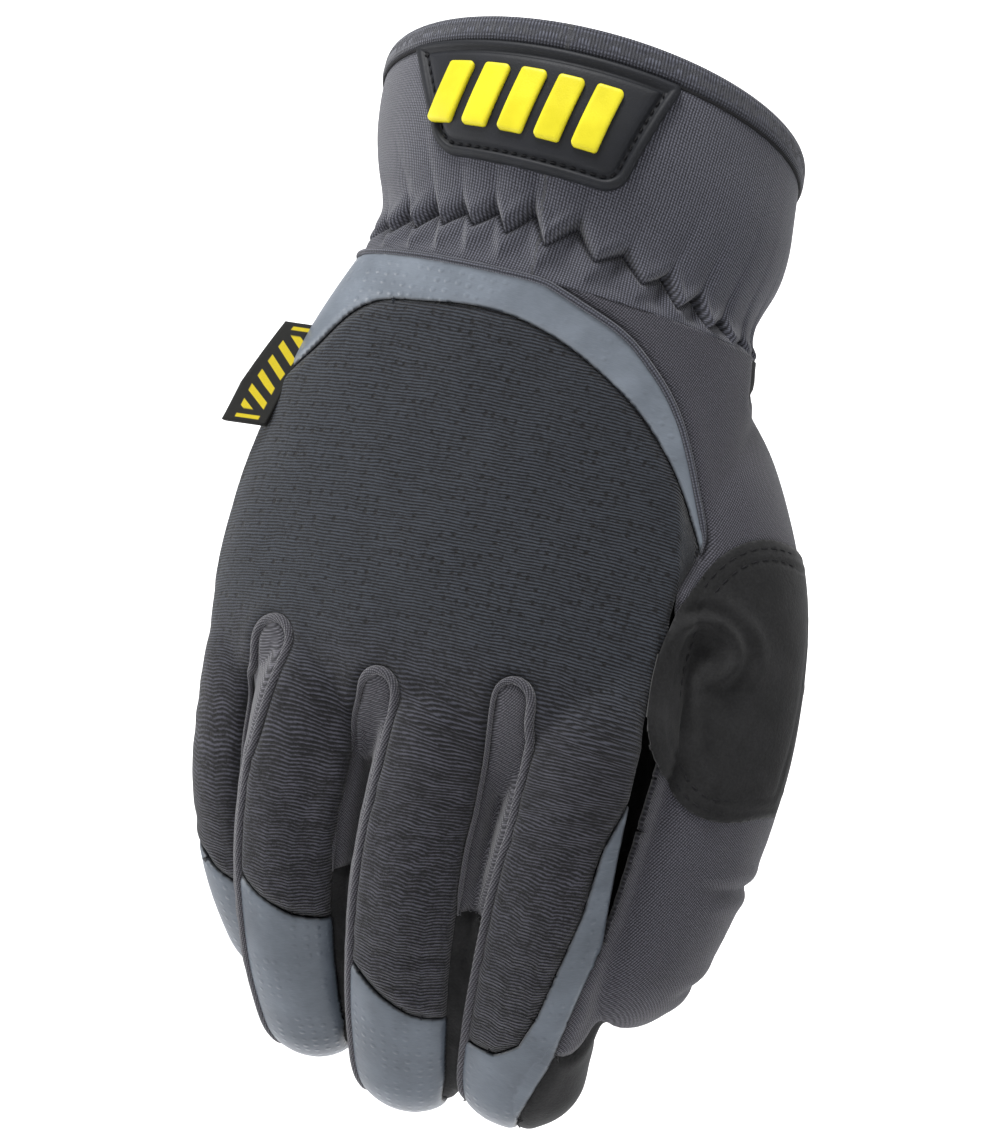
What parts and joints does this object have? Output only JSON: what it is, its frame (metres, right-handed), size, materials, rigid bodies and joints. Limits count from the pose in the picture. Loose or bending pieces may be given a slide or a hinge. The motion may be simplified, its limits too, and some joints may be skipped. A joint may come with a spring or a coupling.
{
  "type": "mechanic glove",
  "caption": "Right-hand work glove as worn, fingers down: mesh back, leather palm, vinyl fingertips and wrist band, gathered knit cuff with a moulded badge.",
  "frame": {"origin": "middle of the cuff's opening, where the hand goes in", "axes": "+Z out of the cuff along the forearm, -Y out of the back of the hand, +X towards the thumb"},
  "size_m": [0.1303, 0.0924, 0.221],
  "materials": {
    "black_mesh": "ribbed stretch mesh with small dimples, matt",
    "grey_vinyl": "soft vinyl with a satin sheen",
    "grey_knit": "fine stretch knit, matt",
    "black_leather": "napped synthetic leather, matt",
    "knit_binding": "folded strip of the same knit with a row of dark stitches",
    "black_rubber": "moulded soft rubber, satin",
    "yellow_print": "moulded soft rubber, satin",
    "woven_tag": "woven ribbon with plain bars"
  },
  "bodies": {
    "root": {"back_panel": "black_mesh", "wrist_band": "grey_vinyl", "little_tip_cap": "grey_vinyl", "ring_tip_cap": "grey_vinyl", "middle_tip_cap": "grey_vinyl", "index_tip_cap": "grey_vinyl", "side_knit": "grey_knit", "little_ring_fourchette": "grey_knit", "ring_middle_fourchette": "grey_knit", "middle_index_fourchette": "grey_knit", "palm_panel": "black_leather", "thumb_patch": "black_leather", "cuff": "grey_knit", "cuff_hem": "knit_binding", "cuff_badge": "black_rubber", "mark_bar_1": "yellow_print", "mark_bar_2": "yellow_print", "mark_bar_3": "yellow_print", "mark_bar_4": "yellow_print", "mark_bar_5": "yellow_print", "side_tag": "woven_tag"}
  },
  "joints": []
}
